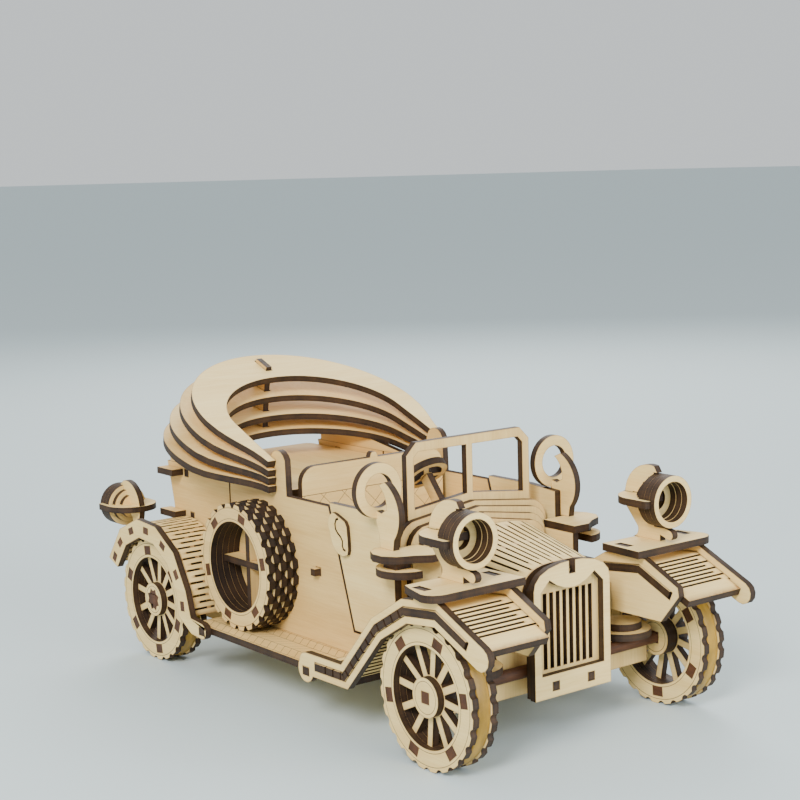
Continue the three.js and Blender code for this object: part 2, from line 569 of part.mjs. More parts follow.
// ---- scroll brackets beside the windscreen ----
const scrollZ = 71;
const scrollX = screenX + 0.4;
const ringZ = 96.6;
const crescent = [...arc(51, 87.6, 17, 15, 62, -38, 12), [63.6, scrollZ + ply], [55, scrollZ + ply], [54.6, 79],
  [52, 86.6], [52, 89], [56.5, 88], ...arc(50.5, 90, 9.6, 10.4, 0, 62, 5)];
addPair('scroll_bracket', join(
  sidePlate(-sideOuterY - 0.6 - ply, crescent),
  crossPlate(scrollX, circle(-46.6, ringZ, 11.2, 28), [circle(-46.6, ringZ, 6.8, 24)])), paleBirch);
const scrollBase = [[54, -sideOuterY - gap], [54, -50], [57, -54.5], [62, -57], [68, -57], [73, -53.5], [76, -47],
  [80, -41.5], [80, -fenderInnerY], [bodyFrontX + gap, -fenderInnerY - 0.5], [bodyFrontX + gap, -sideOuterY - gap]];
addPair('scroll_base', join(flatPlate(scrollZ, scrollBase.reverse()),
  flatPlate(scrollZ - ply, rectangle(62, 70, -52, -45)),
  flatPlate(scrollZ - 2 * ply, [...arc(66.5, -sideOuterY - gap, 11.5, 11.5, 180, 360, 12)])));

export default car;
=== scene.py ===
import math

import bmesh
import bpy
from mathutils import Matrix, Vector


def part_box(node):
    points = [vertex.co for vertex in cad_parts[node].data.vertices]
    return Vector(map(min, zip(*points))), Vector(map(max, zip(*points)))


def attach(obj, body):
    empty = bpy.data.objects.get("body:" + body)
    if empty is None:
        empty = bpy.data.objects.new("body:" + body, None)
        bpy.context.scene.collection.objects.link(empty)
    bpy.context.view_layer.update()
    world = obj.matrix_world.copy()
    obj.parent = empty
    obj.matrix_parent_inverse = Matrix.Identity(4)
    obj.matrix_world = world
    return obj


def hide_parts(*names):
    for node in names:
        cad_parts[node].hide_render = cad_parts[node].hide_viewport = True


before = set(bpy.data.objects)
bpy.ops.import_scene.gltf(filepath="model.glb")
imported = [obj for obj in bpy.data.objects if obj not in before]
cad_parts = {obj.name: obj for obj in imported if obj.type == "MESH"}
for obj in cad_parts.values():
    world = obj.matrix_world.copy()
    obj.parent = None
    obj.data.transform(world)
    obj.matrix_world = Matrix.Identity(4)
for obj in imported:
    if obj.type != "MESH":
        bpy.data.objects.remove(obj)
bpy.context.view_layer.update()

mm = 0.001
axleHeight, frontAxle, rearAxle = 28.0, 105.0, -100.0  # in millimetres
ply = 3.0 * mm  # every sheet
scorchWidth = 0.45  # toasted border beside each laser cut, in millimetres
xAxis, yAxis, zAxis = 0, 1, 2
print("frame loaded:", len(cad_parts), "nodes")


# camera, light and floor
cameraView = {
    "place": (0.5944, -0.4392, 0.2217),
    "azimuth": 51.15,
    "elevation": 7.44,
    "roll": -1.42,
    "lens": 77.2,
    "shift": (-0.0772, -0.0083),
}
camera = bpy.data.objects.new("camera", bpy.data.cameras.new("camera"))
bpy.context.scene.collection.objects.link(camera)
turn = (Matrix.Rotation(math.radians(cameraView["azimuth"]), 4, "Z")
        @ Matrix.Rotation(math.radians(90 - cameraView["elevation"]), 4, "X")
        @ Matrix.Rotation(math.radians(cameraView["roll"]), 4, "Z"))
camera.matrix_world = Matrix.Translation(cameraView["place"]) @ turn
camera.data.lens = cameraView["lens"]
camera.data.shift_x, camera.data.shift_y = cameraView["shift"]
camera.data.clip_start = 0.01
bpy.context.scene.camera = camera


def addLight(name, place, target, power, size, tint):
    lamp = bpy.data.lights.new(name, "AREA")
    lamp.energy, lamp.size, lamp.color = power, size, tint
    holder = bpy.data.objects.new(name, lamp)
    bpy.context.scene.collection.objects.link(holder)
    holder.location = place
    holder.rotation_euler = (Vector(target) - Vector(place)).to_track_quat("-Z", "Y").to_euler()


lights = {
    "windowLight": ((0.75, -1.05, 0.95), (0, 0, 0.05), 30, 0.5, (1.0, 0.965, 0.92)),
    "frontFill": ((1.4, 0.35, 0.55), (0, 0, 0.06), 17, 0.9, (0.93, 0.97, 1.0)),
    "backLight": ((-0.9, 0.8, 0.9), (0, 0, 0.08), 12, 0.7, (1.0, 0.98, 0.95)),
}
for lightName, settings in lights.items():
    addLight(lightName, *settings)
world = bpy.data.worlds.new("softRoom")
world.use_nodes = True
world.node_tree.nodes["Background"].inputs["Color"].default_value = (0.88, 0.93, 0.95, 1)
world.node_tree.nodes["Background"].inputs["Strength"].default_value = 0.88
bpy.context.scene.world = world


# shader groups
def colour(code):
    parts = [int(code[i:i + 2], 16) / 255 for i in (0, 2, 4)]
    return tuple(c / 12.92 if c <= 0.04045 else ((c + 0.055) / 1.055) ** 2.4 for c in parts) + (1.0,)


def newGroup(name, inputs, outputs):
    tree = bpy.data.node_groups.new(name, "ShaderNodeTree")
    for label, kind, value in inputs:
        socket = tree.interface.new_socket(label, in_out="INPUT", socket_type=kind)
        if value is not None:
            socket.default_value = value
    for label, kind in outputs:
        tree.interface.new_socket(label, in_out="OUTPUT", socket_type=kind)
    return tree, tree.nodes.new("NodeGroupInput"), tree.nodes.new("NodeGroupOutput")


def math2(tree, operation, a, b=None, clamp=False):
    node = tree.nodes.new("ShaderNodeMath")
    node.operation, node.use_clamp = operation, clamp
    for slot, value in enumerate((a, b)):
        if value is None:
            continue
        if isinstance(value, (int, float)):
            node.inputs[slot].default_value = value
        else:
            tree.links.new(value, node.inputs[slot])
    return node.outputs[0]


def blendColour(tree, factor, a, b):
    node = tree.nodes.new("ShaderNodeMix")
    node.data_type = "RGBA"
    for socket, value in ((node.inputs[0], factor), (node.inputs[6], a), (node.inputs[7], b)):
        if isinstance(value, (int, float, tuple)):
            socket.default_value = value
        else:
            tree.links.new(value, socket)
    return node.outputs[2]


def noise(tree, vector, scale, detail=2.0, roughness=0.5, distortion=0.0):
    mapping = tree.nodes.new("ShaderNodeMapping")
    mapping.inputs["Scale"].default_value = scale
    tree.links.new(vector, mapping.inputs["Vector"])
    node = tree.nodes.new("ShaderNodeTexNoise")
    node.inputs["Scale"].default_value = 1.0
    node.inputs["Detail"].default_value = detail
    node.inputs["Roughness"].default_value = roughness
    node.inputs["Distortion"].default_value = distortion
    tree.links.new(mapping.outputs[0], node.inputs["Vector"])
    return node.outputs["Fac"]


def ramp(tree, value, low, high):
    node = tree.nodes.new("ShaderNodeMapRange")
    node.interpolation_type = "SMOOTHSTEP"
    node.inputs["From Min"].default_value = low
    node.inputs["From Max"].default_value = high
    tree.links.new(value, node.inputs["Value"])
    return node.outputs[0]


def makeVeneerGroup():  # the flat face of the sheet, grain along the first axis of Position
    tree, enter, leave = newGroup("basswoodVeneer", [
        ("Position", "NodeSocketVector", None), ("Pale", "NodeSocketColor", colour("ecd9b2")),
        ("Tan", "NodeSocketColor", colour("d9bd8b")), ("Scorch", "NodeSocketFloat", 0.0),
        ("Line", "NodeSocketFloat", 0.0)],
        [("Color", "NodeSocketColor"), ("Roughness", "NodeSocketFloat"), ("Height", "NodeSocketFloat")])
    place = enter.outputs["Position"]
    figure = noise(tree, place, (14, 95, 95), 3, 0.55, 0.6)
    fibre = noise(tree, place, (60, 1500, 1500), 4, 0.65)
    pores = ramp(tree, noise(tree, place, (260, 4200, 4200), 2, 0.6), 0.64, 0.76)
    body = math2(tree, "ADD", math2(tree, "MULTIPLY", ramp(tree, figure, 0.3, 0.72), 0.62),
                 math2(tree, "MULTIPLY", ramp(tree, fibre, 0.32, 0.7), 0.38))
    wood = blendColour(tree, body, enter.outputs["Pale"], enter.outputs["Tan"])
    wood = blendColour(tree, math2(tree, "MULTIPLY", pores, 0.32), wood, colour("a47c4c"))
    soot = noise(tree, place, (700, 700, 700), 2, 0.6)
    toast = math2(tree, "MULTIPLY", math2(tree, "POWER", enter.outputs["Scorch"], 1.7),
                  math2(tree, "ADD", math2(tree, "MULTIPLY", soot, 0.9), 0.28), clamp=True)
    wood = blendColour(tree, toast, wood, colour("7d4f29"))
    wood = blendColour(tree, math2(tree, "MULTIPLY", enter.outputs["Line"], 0.86), wood, colour("4f2f19"))
    tree.links.new(wood, leave.inputs["Color"])
    rough = math2(tree, "ADD", math2(tree, "MULTIPLY", fibre, 0.22), 0.52)
    tree.links.new(rough, leave.inputs["Roughness"])
    raised = math2(tree, "ADD", math2(tree, "MULTIPLY", fibre, 0.5), math2(tree, "MULTIPLY", figure, 0.35))
    cut = math2(tree, "ADD", math2(tree, "MULTIPLY", pores, 0.25),
                math2(tree, "MULTIPLY", enter.outputs["Line"], 1.4))
    tree.links.new(math2(tree, "SUBTRACT", raised, cut), leave.inputs["Height"])
    return tree


def makeBurntGroup():  # the laser-cut edge, first axis of Position through the sheet, Depth counted in sheets
    tree, enter, leave = newGroup("burntEdge", [
        ("Position", "NodeSocketVector", None), ("Depth", "NodeSocketFloat", 0.0),
        ("Char", "NodeSocketColor", colour("150d08")), ("Toast", "NodeSocketColor", colour("543a22"))],
        [("Color", "NodeSocketColor"), ("Roughness", "NodeSocketFloat"), ("Height", "NodeSocketFloat")])
    place = enter.outputs["Position"]
    streak = noise(tree, place, (180, 1500, 1500), 3, 0.65)
    cloud = noise(tree, place, (90, 120, 120), 2, 0.5, 0.4)
    within = math2(tree, "FRACT", enter.outputs["Depth"])
    fromMiddle = math2(tree, "ABSOLUTE", math2(tree, "SUBTRACT", within, 0.5))
    core = math2(tree, "SUBTRACT", 1.0, ramp(tree, fromMiddle, 0.12, 0.2))
    glueLow = ramp(tree, math2(tree, "ABSOLUTE", math2(tree, "SUBTRACT", fromMiddle, 0.17)), 0.0, 0.035)
    warm = math2(tree, "ADD", math2(tree, "MULTIPLY", streak, 0.75), math2(tree, "MULTIPLY", cloud, 0.85))
    warm = math2(tree, "SUBTRACT", math2(tree, "ADD", warm, math2(tree, "MULTIPLY", core, 0.12)), 0.5)
    glueShade = math2(tree, "ADD", math2(tree, "MULTIPLY", glueLow, 0.4), 0.6)
    warm = math2(tree, "MULTIPLY", warm, glueShade, clamp=True)
    burnt = blendColour(tree, warm, enter.outputs["Char"], enter.outputs["Toast"])
    tree.links.new(burnt, leave.inputs["Color"])
    tree.links.new(math2(tree, "ADD", math2(tree, "MULTIPLY", streak, 0.3), 0.48), leave.inputs["Roughness"])
    tree.links.new(math2(tree, "ADD", streak, math2(tree, "MULTIPLY", glueLow, 0.3)), leave.inputs["Height"])
    return tree


def makeRingGroup():  # thin circle of given radius about the second axis
    tree, enter, leave = newGroup("engravedRing", [
        ("Position", "NodeSocketVector", None), ("Radius", "NodeSocketFloat", 0.01),
        ("Width", "NodeSocketFloat", 0.0002)], [("Line", "NodeSocketFloat")])
    split = tree.nodes.new("ShaderNodeSeparateXYZ")
    tree.links.new(enter.outputs["Position"], split.inputs[0])
    across = math2(tree, "ADD", math2(tree, "POWER", split.outputs[0], 2.0),
                   math2(tree, "POWER", split.outputs[2], 2.0))
    off = math2(tree, "SUBTRACT", math2(tree, "SQRT", across), enter.outputs["Radius"])
    line = math2(tree, "LESS_THAN", math2(tree, "ABSOLUTE", off), enter.outputs["Width"])
    tree.links.new(line, leave.inputs["Line"])
    return tree


veneerGroup = makeVeneerGroup()
burntGroup = makeBurntGroup()
ringGroup = makeRingGroup()
grainTurns = {xAxis: (0, 0, 0), yAxis: (0, 0, math.radians(-90)), zAxis: (0, math.radians(90), 0)}


def startMaterial(name):
    material = bpy.data.materials.new(name)
    material.use_nodes = True
    tree = material.node_tree
    return material, tree, tree.nodes["Principled BSDF"]


def objectPosition(tree, turnTo=(0, 0, 0), move=(0, 0, 0)):
    coordinates = tree.nodes.new("ShaderNodeTexCoord")
    mapping = tree.nodes.new("ShaderNodeMapping")
    mapping.inputs["Rotation"].default_value = turnTo
    mapping.inputs["Location"].default_value = move
    tree.links.new(coordinates.outputs["Object"], mapping.inputs["Vector"])
    return mapping.outputs[0]


def attribute(tree, name):
    node = tree.nodes.new("ShaderNodeAttribute")
    node.attribute_name = name
    return node.outputs["Fac"]


def finishSurface(tree, shader, group, strength, distance):
    tree.links.new(group.outputs["Color"], shader.inputs["Base Color"])
    tree.links.new(group.outputs["Roughness"], shader.inputs["Roughness"])
    bump = tree.nodes.new("ShaderNodeBump")
    bump.inputs["Strength"].default_value = strength
    bump.inputs["Distance"].default_value = distance
    tree.links.new(group.outputs["Height"], bump.inputs["Height"])
    tree.links.new(bump.outputs[0], shader.inputs["Normal"])
    shader.inputs["Specular IOR Level"].default_value = 0.35


def veneer(name, grain, pale, tan, shift=(0, 0, 0), lines=None):
    material, tree, shader = startMaterial(name)
    group = tree.nodes.new("ShaderNodeGroup")
    group.node_tree = veneerGroup
    tree.links.new(objectPosition(tree, grainTurns[grain], shift), group.inputs["Position"])
    group.inputs["Pale"].default_value = colour(pale)
    group.inputs["Tan"].default_value = colour(tan)
    tree.links.new(attribute(tree, "scorch"), group.inputs["Scorch"])
    if lines:
        tree.links.new(lines(tree), group.inputs["Line"])
    finishSurface(tree, shader, group, 0.35, 0.00012)
    return material


def burntEdge(name, through, char="150d08", toast="543a22"):
    material, tree, shader = startMaterial(name)
    group = tree.nodes.new("ShaderNodeGroup")
    group.node_tree = burntGroup
    tree.links.new(objectPosition(tree, grainTurns[through]), group.inputs["Position"])
    tree.links.new(attribute(tree, "sheets"), group.inputs["Depth"])
    group.inputs["Char"].default_value = colour(char)
    group.inputs["Toast"].default_value = colour(toast)
    finishSurface(tree, shader, group, 0.5, 0.00015)
    return material


def rings(centre, radii, width=0.13):
    def draw(tree):
        place = objectPosition(tree, (0, 0, 0), tuple(-c * mm for c in centre))
        total = None
        for radius in radii:
            node = tree.nodes.new("ShaderNodeGroup")
            node.node_tree = ringGroup
            tree.links.new(place, node.inputs["Position"])
            node.inputs["Radius"].default_value = radius * mm
            node.inputs["Width"].default_value = width * mm
            total = node.outputs[0] if total is None else math2(tree, "MAXIMUM", total, node.outputs[0])
        return total
    return draw


def parquet(tree):  # herringbone on the running boards, and the line along their inner edge
    split = tree.nodes.new("ShaderNodeSeparateXYZ")
    tree.links.new(objectPosition(tree), split.inputs[0])
    column = math2(tree, "PINGPONG", split.outputs[1], 6.5 * mm)
    run = math2(tree, "FRACT", math2(tree, "DIVIDE", math2(tree, "ADD", split.outputs[0], column), 5.2 * mm))
    slanted = math2(tree, "LESS_THAN", run, 0.06)
    fromCentre = math2(tree, "ABSOLUTE", math2(tree, "SUBTRACT", column, 3.25 * mm))
    seam = math2(tree, "SUBTRACT", 1.0, math2(tree, "LESS_THAN", fromCentre, 3.1 * mm))
    outside = math2(tree, "GREATER_THAN", math2(tree, "ABSOLUTE", split.outputs[1]), 45 * mm)
    return math2(tree, "MULTIPLY", math2(tree, "MAXIMUM", slanted, seam), outside)


def quilting(tree):  # crossed stitches under the top roll of the seat back
    split = tree.nodes.new("ShaderNodeSeparateXYZ")
    tree.links.new(objectPosition(tree), split.inputs[0])
    total = None
    for sign in (1, -1):
        along = math2(tree, "ADD", split.outputs[1], math2(tree, "MULTIPLY", split.outputs[2], sign))
        line = math2(tree, "LESS_THAN", math2(tree, "FRACT", math2(tree, "DIVIDE", along, 11 * mm)), 0.028)
        total = line if total is None else math2(tree, "MAXIMUM", total, line)
    rollHeight = 84 * mm
    below = math2(tree, "LESS_THAN", split.outputs[2], rollHeight)
    fromRoll = math2(tree, "ABSOLUTE", math2(tree, "SUBTRACT", split.outputs[2], rollHeight))
    roll = math2(tree, "LESS_THAN", fromRoll, 0.15 * mm)
    return math2(tree, "MAXIMUM", math2(tree, "MULTIPLY", total, below), roll)


faces = {
    "side": veneer("veneerSide", xAxis, "e4c17c", "cfa560"),
    "sidePale": veneer("veneerSidePale", xAxis, "f0d492", "e0bd75", (0.1, 0.03, 0.02)),
    "cross": veneer("veneerCross", zAxis, "e2c281", "cca866"),
    "crossPale": veneer("veneerCrossPale", yAxis, "eed190", "dcb973", (0.02, 0.05, 0.11)),
    "flat": veneer("veneerFlat", xAxis, "e9ca87", "d6b16a", (0.03, 0.01, 0.07)),
    "flatPale": veneer("veneerFlatPale", yAxis, "efd493", "dfbe77", (0.04, 0.02, 0.01)),
    "boards": veneer("veneerBoards", xAxis, "e6c683", "d2ad66", (0.07, 0.02, 0), parquet),
    "seat": veneer("veneerSeat", yAxis, "eed18e", "dcb973", (0.01, 0.09, 0.02), quilting),
}
edges = {
    xAxis: burntEdge("burntThroughX", xAxis),
    yAxis: burntEdge("burntThroughY", yAxis),
    zAxis: burntEdge("burntThroughZ", zAxis),
}
endGrain = burntEdge("tenonEnd", yAxis, "2e1a0f", "7a4c2b")
print("materials made")


# making plates
def planePoint(axis, a, b, c):
    return {xAxis: (c, a, b), yAxis: (a, c, b), zAxis: (a, b, c)}[axis]


def arc(cx, cy, rx, ry, start, end, steps):
    angles = [math.radians(start + (end - start) * i / steps) for i in range(steps + 1)]
    return [(cx + rx * math.cos(t), cy + ry * math.sin(t)) for t in angles]


def circle(cx, cy, r, steps=64, start=0):
    return arc(cx, cy, r, r, start, start + 360, steps)[:-1]


def box(x0, x1, y0, y1):
    return [(x0, y0), (x1, y0), (x1, y1), (x0, y1)]


def turned(points, degrees, cx=0.0, cy=0.0):
    c, s = math.cos(math.radians(degrees)), math.sin(math.radians(degrees))
    return [(cx + x * c - y * s, cy + x * s + y * c) for x, y in points]


def scorch(bm, flats, axis, base, slot=0, halo=scorchWidth):
    # marks faces and cut edges, with a toasted border
    burn = bm.verts.layers.float.new("scorch")
    sheets = bm.verts.layers.float.new("sheets")
    flats = set(flats)
    for face in bm.faces:
        face.material_index = slot if face in flats else slot + 1
    rims = bmesh.ops.inset_region(bm, faces=list(flats), thickness=halo * mm, use_boundary=True,
                                  use_even_offset=True)
    for face in rims["faces"]:
        face.material_index = slot
    for vert in bm.verts:
        vert[burn] = float(any(face.material_index == slot + 1 for face in vert.link_faces))
        vert[sheets] = abs(vert.co[axis] - base) / ply


def addPlate(target, axis, low, loops, thickness=3.0, slot=0, halo=scorchWidth, move=None):
    bm = bmesh.new()
    rims = []
    for loop in loops:
        corners = [bm.verts.new(Vector(planePoint(axis, a, b, low)) * mm) for a, b in loop]
        rims += [bm.edges.new((corners[i - 1], corners[i])) for i in range(len(corners))]
    filled = bmesh.ops.triangle_fill(bm, use_beauty=True, use_dissolve=True, edges=rims)
    sheet = [part for part in filled["geom"] if isinstance(part, bmesh.types.BMFace)]
    raised = bmesh.ops.extrude_face_region(bm, geom=sheet)
    top = [part for part in raised["geom"] if isinstance(part, bmesh.types.BMVert)]
    bmesh.ops.translate(bm, vec=Vector(planePoint(axis, 0, 0, thickness)) * mm, verts=top)
    bmesh.ops.recalc_face_normals(bm, faces=bm.faces)
    scorch(bm, [face for face in bm.faces if abs(face.normal[axis]) > 0.9], axis, low * mm, slot, halo)
    if move:
        bmesh.ops.transform(bm, matrix=move, verts=bm.verts)
    mergeInto(target, bm)


def mergeInto(target, bm):
    spare = bpy.data.meshes.new("spare")
    bm.to_mesh(spare)
    bm.free()
    target.from_mesh(spare)
    bpy.data.meshes.remove(spare)


def newTarget():
    target = bmesh.new()
    target.verts.layers.float.new("scorch")
    target.verts.layers.float.new("sheets")
    return target


def placePiece(bm, name, body, materials, nodes, smooth=32):
    mesh = bpy.data.meshes.new(name)
    bm.to_mesh(mesh)
    bm.free()
    for material in materials:
        mesh.materials.append(material)
    mesh.shade_smooth()
    mesh.set_sharp_from_angle(angle=math.radians(smooth))
    piece = bpy.data.objects.new(name, mesh)
    bpy.context.scene.collection.objects.link(piece)
    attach(piece, body)
    if nodes:
        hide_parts(*nodes)
    return piece


def placePair(bm, name, body, materials, nodes, smooth=32):  # the right piece and its mirror image
    twin = bm.copy()
    bmesh.ops.scale(twin, vec=(1, -1, 1), verts=twin.verts)
    bmesh.ops.reverse_faces(twin, faces=twin.faces)
    for side, shape in (("right", bm), ("left", twin)):
        placePiece(shape, f"{name}_{side}", body, materials, [f"{n}_{side}" for n in nodes], smooth)


# plates whose outline the frame already has: through axis, face and slot
framePlates = {
    "floor_plate": (zAxis, "boards", "plywood"), "chassis_rail_right": (yAxis, "side", "plywood"),
    "chassis_rail_left": (yAxis, "side", "plywood"), "radiator_shell": (xAxis, "crossPale", "plywood"),
    "radiator_grille": (xAxis, "cross", "plywood"), "firewall": (xAxis, "cross", "plywood"),
    "cowl_arch_rear": (xAxis, "cross", "plywood"), "cowl_arch_front": (xAxis, "cross", "plywood"),
    "windscreen_frame": (xAxis, "cross", "plywood"), "steering_column": (yAxis, "side", "plywood"),
    "body_side_right": (yAxis, "side", "plywood"), "body_side_left": (yAxis, "side", "plywood"),
    "door_right": (yAxis, "sidePale", "pale_plywood"), "door_left": (yAxis, "sidePale", "pale_plywood"),
    "rear_deck": (zAxis, "flat", "plywood"), "seat_cushion": (zAxis, "flat", "plywood"),
    "seat_back": (xAxis, "seat", "pale_plywood"), "top_spine": (yAxis, "side", "plywood"),
    "front_fender_outer_right": (yAxis, "sidePale", "plywood"),
    "front_fender_outer_left": (yAxis, "sidePale", "plywood"),
    "front_fender_inner_right": (yAxis, "sidePale", "pale_plywood"),
    "front_fender_inner_left": (yAxis, "sidePale", "pale_plywood"),
    "rear_fender_outer_right": (yAxis, "sidePale", "plywood"),
    "rear_fender_outer_left": (yAxis, "sidePale", "plywood"),
    "lamp_base_right": (zAxis, "flatPale", "plywood"), "lamp_base_left": (zAxis, "flatPale", "plywood"),
    "scroll_base_right": (zAxis, "flatPale", "plywood"), "scroll_base_left": (zAxis, "flatPale", "plywood"),
}


def looseCopy(node):
    bm = bmesh.new()
    bm.from_mesh(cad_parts[node].data)
    bmesh.ops.remove_doubles(bm, verts=bm.verts, dist=0.002 * mm)
    bmesh.ops.dissolve_limit(bm, angle_limit=math.radians(0.5), verts=bm.verts, edges=bm.edges)
    return bm


for node, (axis, face, slotName) in framePlates.items():
    bm = looseCopy(node)
    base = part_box(node)[0][axis]
    scorch(bm, [f for f in bm.faces if abs(f.normal[axis]) > 0.9], axis, base)
    placePiece(bm, node + "_cut", "chassis", [faces[face], edges[axis]], [node])
print("flat plates made")


# rear panel, a sloping plate with a shelf through it
rearPanel = {"shelfTop": 66.1, "shelfDepth": 3.4}
bm = looseCopy("rear_panel")
slope = max((f for f in bm.faces if abs(f.normal.x) > 0.8), key=lambda f: f.calc_area()).normal.copy()
shelfHigh = rearPanel["shelfTop"] * mm
shelfLow = shelfHigh - rearPanel["shelfDepth"] * mm
panelFaces = [f for f in bm.faces if abs(f.normal.dot(slope)) > 0.99
              or (abs(f.normal.z) > 0.99 and shelfLow < f.calc_center_median().z < shelfHigh)]
scorch(bm, panelFaces, xAxis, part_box("rear_panel")[0][xAxis])
placePiece(bm, "rear_panel_cut", "chassis", [faces["cross"], edges[xAxis]], ["rear_panel"])


# road wheels and spare wheel
roadWheel = {"radius": 28.0, "notches": 24, "notchDepth": 1.15, "window": 19.7, "core": 25.0, "spokes": 12,
             "spokeWidth": 2.9, "hub": 7.7, "pins": 6, "pinRadius": 22.9, "pinSize": (4.0, 5.6), "seam": 0.07,
             "axleSquare": 4.6, "innerSide": 54.0}
wheelPlaces = {"front_right": (frontAxle, 129.5, "right"), "front_left": (frontAxle, 34.0, "left"),
               "rear_right": (rearAxle, 158.7, "right"), "rear_left": (rearAxle, 12.0, "left")}


def notchedLoop(cx, cz, radius, notches, depth, phase):
    points = []
    for i in range(notches * 12):
        t = 2 * math.pi * i / (notches * 12)
        dip = max(0.0, math.cos(notches * t + math.radians(phase) * notches)) ** 0.75
        points.append((cx + (radius - depth * dip) * math.cos(t), cz + (radius - depth * dip) * math.sin(t)))
    return points


def mortiseLoops(cx, cz, settings, phase, spread):
    radial, along = settings["pinSize"]
    rect = box(-radial / 2 - spread, radial / 2 + spread, -along / 2 - spread, along / 2 + spread)
    places = [phase + 360 * i / settings["pins"] for i in range(settings["pins"])]
    return [turned([(settings["pinRadius"] + a, b) for a, b in rect], angle, cx, cz) for angle in places]


def tyreRing(target, low, cx, cz, settings, phase, notchPhase, pinned):
    outline = notchedLoop(cx, cz, settings["radius"], settings["notches"], settings["notchDepth"], notchPhase)
    holes = mortiseLoops(cx, cz, settings, phase, 0.0) if pinned else []
    addPlate(target, yAxis, low + settings["seam"] / 2, [outline, circle(cx, cz, settings["window"]), *holes],
             ply / mm - settings["seam"], halo=0.3)
    for loop in mortiseLoops(cx, cz, settings, phase, -0.12) if pinned else []:
        addPlate(target, yAxis, low + 0.12, [loop], ply / mm - 0.24, 2, 0.3)


def spokeWindows(cx, cz, inner, outer, count, width, phase):
    loops = []
    for i in range(count):
        middle, half = phase + 360 * i / count, 180 / count
        reach = [half - math.degrees(math.asin(width / 2 / r)) for r in (inner, outer)]
        loops.append(arc(cx, cz, inner, inner, middle - reach[0], middle + reach[0], 4)
                     + arc(cx, cz, outer, outer, middle + reach[1], middle - reach[1], 8))
    return loops


def starLoop(cx, cz, outer, inner, points):
    return [(cx + (outer if i % 2 else inner) * math.cos(math.pi * i / points),
             cz + (outer if i % 2 else inner) * math.sin(math.pi * i / points)) for i in range(points * 2)]


def wheelMesh(cx, phase, star):
    s, cz = roadWheel, axleHeight
    target = newTarget()
    outer = -s["innerSide"] - 12
    half = s["axleSquare"] / 2
    square = box(cx - half, cx + half, cz - half, cz + half)
    tyreRing(target, outer, cx, cz, s, phase, 0, True)
    if star:
        addPlate(target, yAxis, outer, [circle(cx, cz, s["hub"]), starLoop(cx, cz, 5.3, 3.9, 8)], 2.93)
        addPlate(target, yAxis, outer + 0.1, [starLoop(cx, cz, 5.2, 3.8, 8), square], 2.8, 2, 0.25)
    else:
        addPlate(target, yAxis, outer, [circle(cx, cz, s["hub"]), square], 2.93)
    windows = spokeWindows(cx, cz, s["hub"] + 0.4, s["window"], s["spokes"], s["spokeWidth"], phase)
    addPlate(target, yAxis, outer + 3.035, [circle(cx, cz, s["core"], 96), *windows, square], 2.93)
    addPlate(target, yAxis, outer + 6.035, [circle(cx, cz, s["core"], 96), circle(cx, cz, s["window"])], 2.93)
    addPlate(target, yAxis, outer + 6.035, [circle(cx, cz, s["hub"]), square], 5.93)
    tyreRing(target, outer + 9, cx, cz, s, phase, 7.5, True)
    return target


for name, (cx, phase, side) in wheelPlaces.items():
    wheelFace = veneer("veneerWheel_" + name, xAxis, "ecd191", "dcbb76", (0.05, 0.02, 0.03 * len(name)),
                       rings((cx, 0, axleHeight), (26.1, 20.9, 6.2)))
    bm = wheelMesh(cx, phase, name.startswith("rear"))
    if side == "left":
        bmesh.ops.scale(bm, vec=(1, -1, 1), verts=bm.verts)
        bmesh.ops.reverse_faces(bm, faces=bm.faces)
    wheelBody = name.split("_")[0] + "_wheelset"
    placePiece(bm, "road_wheel_" + name, wheelBody, [wheelFace, edges[yAxis], endGrain, endGrain],
               ["wheel_" + name])

spareWheel = dict(roadWheel, notchDepth=2.0, window=20.0, seam=0.1, pinRadius=23.1, pinSize=(3.4, 5.2),
                  centre=(-37.6, 52.6), layers=5, inner=-44.5, bracket=(19.9, 52.5))
bm = newTarget()
cx, cz = spareWheel["centre"]
for layer in range(spareWheel["layers"]):
    low = spareWheel["inner"] - 3 * (layer + 1)
    outermost = layer == spareWheel["layers"] - 1
    tyreRing(bm, low, cx, cz, spareWheel, 12, -90 + 7.5 * (layer % 2), outermost)
spareFace = veneer("veneerSpare", xAxis, "e6c783", "d2ae70", (0.02, 0.04, 0.09),
                   rings((cx, 0, cz), (26.0, 21.2)))
# the spare's cut edges are darker than the road wheels' edges: real laser char, plus painted shade for the
# deep alternate scallops of its tread
treadCharAndShade = burntEdge("burntTreadAndPaintedShade", yAxis, "0e0806", "3d291a")
placePiece(bm, "spare_wheel_rings", "chassis", [spareFace, treadCharAndShade, endGrain, endGrain],
           ["spare_wheel"])
bm = newTarget()
arm, depth = spareWheel["bracket"]
addPlate(bm, zAxis, cz - 1.5, [box(cx - arm, cx + arm, -depth, spareWheel["inner"])])
addPlate(bm, xAxis, cx - 1.5, [box(-depth, spareWheel["inner"], cz - arm, cz - 1.55)], slot=2)
addPlate(bm, xAxis, cx - 1.5, [box(-depth, spareWheel["inner"], cz + 1.55, cz + arm)], slot=2)
placePiece(bm, "spare_bracket_cut", "chassis",
           [faces["flat"], edges[zAxis], faces["cross"], edges[xAxis]], ["spare_bracket"])
print("wheels made")


# rubber bands
rubberBand = {"inner": 25.15, "outer": 27.3, "half": 2.85, "round": 0.55, "steps": 96, "middle": -60.0}


